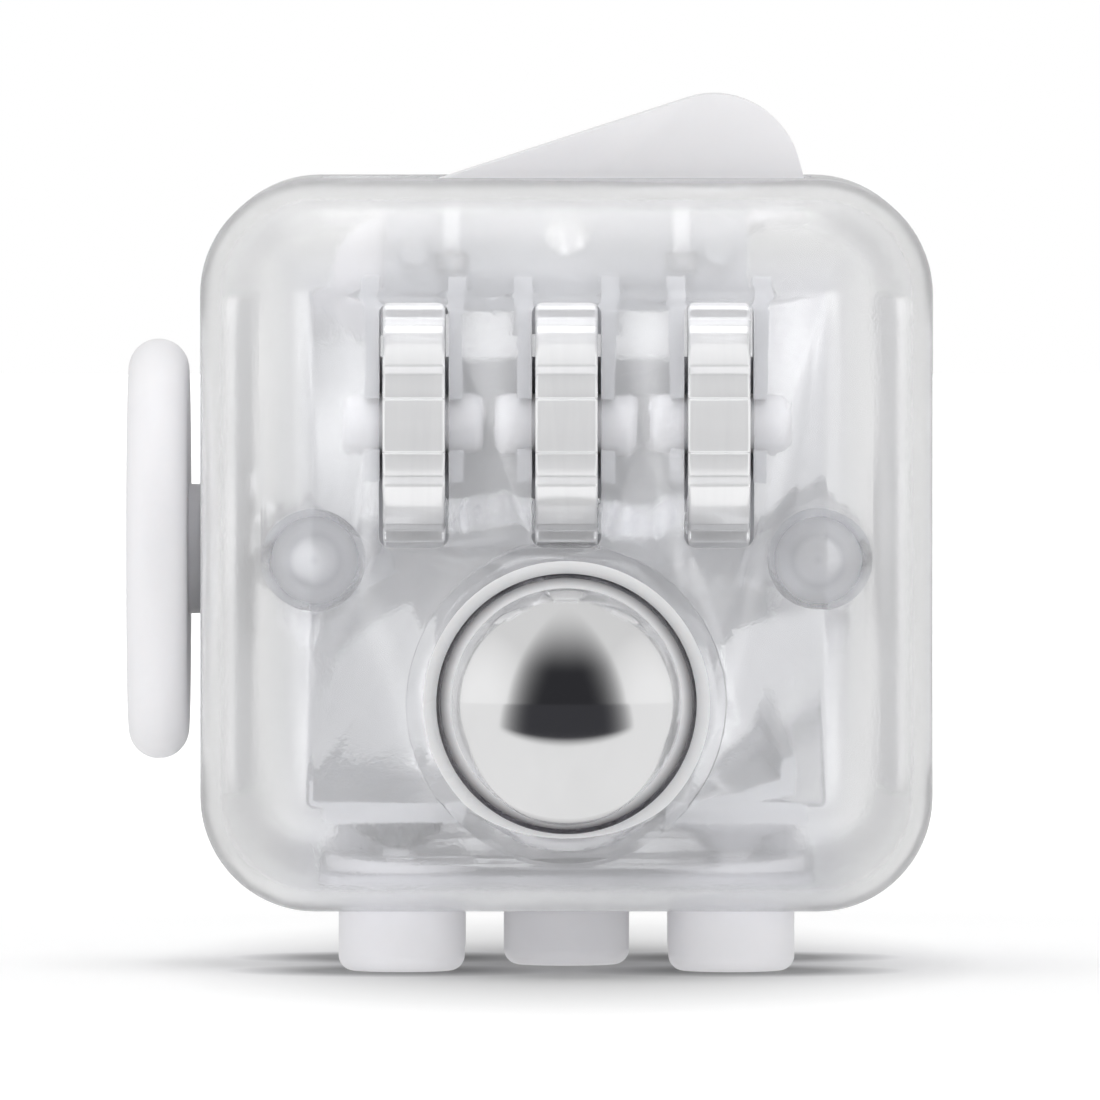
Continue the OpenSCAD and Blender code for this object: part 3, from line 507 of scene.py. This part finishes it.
# One polished wheel. Its rim radius follows the lands: R - depth * s(a), where s rises smoothly
# from 0 on a land to 1 in a valley, and each ring across the width shrinks by the edge rounding.
def makeWheel(node, name):
    low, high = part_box(node)
    centre = (low + high) / 2
    radius = max(high[2] - low[2], high[1] - low[1]) / 2
    width = high[0] - low[0]
    around = np.arange(wheelLook["steps"]) * 2 * np.pi / wheelLook["steps"]
    phase = (around * wheelLook["lands"] / (2 * np.pi) + 0.5) % 1 - 0.5
    edge = wheelLook["share"] / 2
    ramp = np.clip((np.abs(phase) - edge) / (wheelLook["flank"] * (0.5 - edge)), 0, 1)
    rim = radius - wheelLook["valley"] * ramp * ramp * (3 - 2 * ramp)
    turn = np.linspace(0, np.pi / 2, wheelLook["roundSteps"])
    r = wheelLook["round"]
    across = np.concatenate([-width / 2 + r * (1 - np.cos(turn)), width / 2 - r * (1 - np.cos(turn[::-1]))])
    shrink = np.concatenate([r * (1 - np.sin(turn)), r * (1 - np.sin(turn[::-1]))])
    rings = rim[None, :] - shrink[:, None]
    ends = np.full((1, around.size), wheelLook["hub"])
    rings = np.concatenate([ends, rings, ends])
    across = np.concatenate([[-width / 2], across, [width / 2]])
    x = centre[0] + np.repeat(across[:, None], around.size, axis=1)
    y = centre[1] - rings * np.cos(around)[None, :]
    z = centre[2] + rings * np.sin(around)[None, :]
    points = np.stack([x, y, z], axis=-1).reshape(-1, 3)
    mesh = bpy.data.meshes.new(name)
    mesh.from_pydata(points.tolist(), [], gridFaces(*rings.shape).tolist())
    placePiece(mesh, name, node)


for node in ("gear_left", "gear_middle", "gear_right"):
    makeWheel(node, node + "_polished")
print("wheels turned")


ballGrid = {"rings": 96, "steps": 192}


# The polished ball. With v running from pole to pole and u round the axle, a point is the centre
# plus R (cos v, sin v cos u, sin v sin u). Each pole is one shared point.
def makeBall(node, name):
    low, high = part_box(node)
    centre = (low + high) / 2
    radius = (high[2] - low[2]) / 2
    down = np.linspace(0, np.pi, ballGrid["rings"] + 1)[1:-1]
    around = np.arange(ballGrid["steps"]) * 2 * np.pi / ballGrid["steps"]
    x = np.repeat(np.cos(down)[:, None], around.size, axis=1)
    y = np.sin(down)[:, None] * np.cos(around)[None, :]
    z = np.sin(down)[:, None] * np.sin(around)[None, :]
    points = np.concatenate([np.stack([x, y, z], axis=-1).reshape(-1, 3), [[1, 0, 0], [-1, 0, 0]]])
    points = np.array(centre) + radius * points
    count, loop = x.shape
    first = np.arange(loop)
    second = (first + 1) % loop
    lastRow = (count - 1) * loop
    startCap = np.stack([np.full(loop, count * loop), first, second], axis=-1)
    endCap = np.stack([np.full(loop, count * loop + 1), lastRow + second, lastRow + first], axis=-1)
    mesh = bpy.data.meshes.new(name)
    faces = gridFaces(count, loop).tolist() + startCap.tolist() + endCap.tolist()
    mesh.from_pydata(points.tolist(), [], faces)
    placePiece(mesh, name, node)


makeBall("ball", "ball_polished")
print("ball turned")


studio = {
    "tableSize": 1.6, "tableColor": (0.86, 0.86, 0.86), "tableRough": 0.9,
    "paintedReflectionColor": (0.78, 0.78, 0.78),
    "nearGlow": 0.2, "farGlow": 1.0, "glowStart": 0.06, "glowEnd": 0.5,
    "shadeWide": 16.5 * mm, "shadeDeep": 50 * mm, "shadeFoot": 0.42, "shadeRise": 0.5,
    "footPlace": 8 * mm, "footFrom": 3.5 * mm, "footTo": 7.5 * mm, "footShade": 0.45,
    "edgeFrom": 34 * mm, "edgeFade": 6 * mm, "edgeEnd": 22 * mm, "edgeSpread": 0.95,
    "roomLight": 0.66, "roomColor": (1, 1, 1), "darkColor": (0.04, 0.04, 0.045),
    "bellWidth": 0.8, "bellSoft": 0.45, "bellLean": 0.35, "bellFade": 0.4, "bellTop": 1.0,
    "sideBoost": 1.3, "sideLean": 0.25, "sideFrom": 0.7,
    "cameraDistance": 1.205, "cameraHeight": 47 * mm, "lens": 867.6, "sensor": 36,
    "aim": (-0.75 * mm, 0, 18.83 * mm), "lampAim": (0, 0, 19 * mm),
}
lamps = {  # place, size, power in watts
    "topSoftbox": ((-0.06, -0.03, 0.5), (0.35, 0.3), 0.85),
    "frontFill": ((0, -0.9, 0.45), (0.7, 0.5), 1.9),
    "lowFill": ((0, -0.9, 0.04), (0.7, 0.07), 1.3),
}


# 1 well inside an edge and 0 outside it, 1 - s * s, with s rising over the softness on both sides
def softFall(tree, outside):
    rise = addRange(tree, outside, -studio["bellSoft"], studio["bellSoft"], 0, 1)
    return addMath(tree, "SUBTRACT", 1.0, addMath(tree, "MULTIPLY", rise, rise))


# Soft shade under the cube, broad and oval, and closer shade around the four outer buttons
def addTableShade(tree, x, y):
    wide = addMath(tree, "DIVIDE", x, studio["shadeWide"])
    deep = addMath(tree, "DIVIDE", y, studio["shadeDeep"])
    oval = addMath(tree, "MULTIPLY", addLength(tree, wide, deep), studio["shadeRise"])
    broad = addMath(tree, "ADD", oval, studio["shadeFoot"], clamp=True)
    footX = addMath(tree, "SUBTRACT", addMath(tree, "ABSOLUTE", x), studio["footPlace"])
    footY = addMath(tree, "SUBTRACT", addMath(tree, "ABSOLUTE", y), studio["footPlace"])
    away = addLength(tree, footX, footY)
    close = addRange(tree, away, studio["footFrom"], studio["footTo"], studio["footShade"], 1)
    path = addNode(tree, "ShaderNodeLightPath")
    lost = addMath(tree, "SUBTRACT", 1.0, addMath(tree, "MULTIPLY", broad, close))
    return addMath(tree, "SUBTRACT", 1.0, addMath(tree, "MULTIPLY", lost, path.outputs["Is Camera Ray"]))


# The table is paper lit from below, with its glow painted weaker near the cube. To glossy rays it shows a
# painted reflection: plain grey, and dark from a little in front of the cube outwards, as if a dark room lay
# beyond its near edge.
def makeTable():
    size = studio["tableSize"]
    mesh = bpy.data.meshes.new("table")
    corners = [(-size, -size, 0), (size, -size, 0), (size, size, 0), (-size, size, 0)]
    mesh.from_pydata(corners, [], [(0, 1, 2, 3)])
    table = bpy.data.objects.new("table", mesh)
    bpy.context.scene.collection.objects.link(table)
    material, tree = newTree("paleTable")
    shader = addNode(tree, "ShaderNodeBsdfPrincipled")
    setInputs(shader, {"Roughness": studio["tableRough"], "Emission Color": (1, 1, 1, 1)})
    coordinates = addNode(tree, "ShaderNodeTexCoord").outputs["Object"]
    reach = addNode(tree, "ShaderNodeVectorMath", operation="LENGTH")
    tree.links.new(coordinates, reach.inputs[0])
    # Painted gradient: the glow is weaker near the cube and full far away
    glow = addRange(tree, reach.outputs["Value"], studio["glowStart"], studio["glowEnd"],
                    studio["nearGlow"], studio["farGlow"])
    split = addNode(tree, "ShaderNodeSeparateXYZ")
    tree.links.new(coordinates, split.inputs[0])
    shade = addTableShade(tree, split.outputs["X"], split.outputs["Y"])
    tree.links.new(addMix(tree, shade, (0, 0, 0), studio["tableColor"]), shader.inputs["Base Color"])
    tree.links.new(addMath(tree, "MULTIPLY", glow, shade), shader.inputs["Emission Strength"])
    # Painted reflection: what glossy rays see of the table, grey, and dark in front of the cube
    ahead = addMath(tree, "SUBTRACT", -studio["edgeFrom"], split.outputs["Y"])
    reachOut = addMath(tree, "ADD", addMath(tree, "MAXIMUM", ahead, 0.0), studio["edgeEnd"])
    sideways = addMath(tree, "DIVIDE", addMath(tree, "ABSOLUTE", split.outputs["X"]), reachOut)
    darkReflectionMask = addMath(tree, "MULTIPLY", addRange(tree, ahead, 0, studio["edgeFade"], 0, 1),
                   softFall(tree, addMath(tree, "SUBTRACT", sideways, studio["edgeSpread"])))
    reflectionPaint = addNode(tree, "ShaderNodeEmission")
    tree.links.new(addMix(tree, darkReflectionMask, studio["paintedReflectionColor"], studio["darkColor"]), reflectionPaint.inputs["Color"])
    addOutput(tree, mixByRay(tree, "Is Glossy Ray", shader.outputs["BSDF"], reflectionPaint.outputs["Emission"]))
    mesh.materials.append(material)


def makeLamp(name, place, size, power):
    data = bpy.data.lights.new(name, "AREA")
    data.shape = "RECTANGLE"
    data.size, data.size_y = size
    data.energy = power
    lamp = bpy.data.objects.new(name, data)
    bpy.context.scene.collection.objects.link(lamp)
    lamp.location = place
    lamp.visible_glossy = False
    lamp.rotation_euler = (Vector(studio["lampAim"]) - Vector(place)).to_track_quat("-Z", "Y").to_euler()


# Soft white walls, brightest to the left and right, with a dark bell towards the camera
def makeWorld():
    world = bpy.data.worlds.new("studio")
    bpy.context.scene.world = world
    world.use_nodes = True
    tree = world.node_tree
    tree.nodes.clear()
    seen = setInputs(addNode(tree, "ShaderNodeBackground"), {"Color": (1, 1, 1, 1), "Strength": 1.0})
    lit = addNode(tree, "ShaderNodeBackground")
    lit.inputs["Strength"].default_value = studio["roomLight"]
    coordinates = addNode(tree, "ShaderNodeTexCoord")
    split = addNode(tree, "ShaderNodeSeparateXYZ")
    tree.links.new(coordinates.outputs["Generated"], split.inputs[0])
    ahead = addMath(tree, "MULTIPLY", split.outputs["Y"], -1.0)
    aside = addMath(tree, "ABSOLUTE", split.outputs["X"])
    spread = addMath(tree, "DIVIDE", aside, addMath(tree, "MAXIMUM", ahead, 0.001))  # not by zero
    lean = addMath(tree, "MULTIPLY", split.outputs["Z"], studio["bellLean"])
    outside = addMath(tree, "ADD", spread, addMath(tree, "SUBTRACT", lean, studio["bellWidth"]))
    high = addRange(tree, split.outputs["Z"], studio["bellFade"], studio["bellTop"], 0, 1)
    bell = addMath(tree, "MULTIPLY", softFall(tree, outside), addMath(
        tree, "SUBTRACT", 1.0, addMath(tree, "MULTIPLY", high, high)))
    sideways = addMath(tree, "ADD", aside, addMath(tree, "MULTIPLY", ahead, studio["sideLean"]))
    walls = addNode(tree, "ShaderNodeVectorMath", operation="SCALE")
    walls.inputs[0].default_value = studio["roomColor"]
    boost = addRange(tree, sideways, studio["sideFrom"], 1, 1, studio["sideBoost"])
    tree.links.new(boost, walls.inputs["Scale"])
    tree.links.new(addMix(tree, bell, walls.outputs[0], studio["darkColor"]), lit.inputs["Color"])
    surface = mixByRay(tree, "Is Camera Ray", lit.outputs["Background"], seen.outputs["Background"])
    addOutput(tree, surface, "ShaderNodeOutputWorld")


def makeCamera():
    data = bpy.data.cameras.new("camera")
    data.lens = studio["lens"]
    data.sensor_width = studio["sensor"]
    data.clip_start = 0.01
    data.clip_end = 20
    camera = bpy.data.objects.new("camera", data)
    bpy.context.scene.collection.objects.link(camera)
    camera.location = (0, -studio["cameraDistance"], studio["cameraHeight"])
    camera.rotation_euler = (Vector(studio["aim"]) - camera.location).to_track_quat("-Z", "Y").to_euler()
    bpy.context.scene.camera = camera


makeTable()
for lampName, lampSetting in lamps.items():
    makeLamp(lampName, *lampSetting)
makeWorld()
makeCamera()
bpy.context.scene.view_settings.view_transform = "Standard"
print("studio ready")
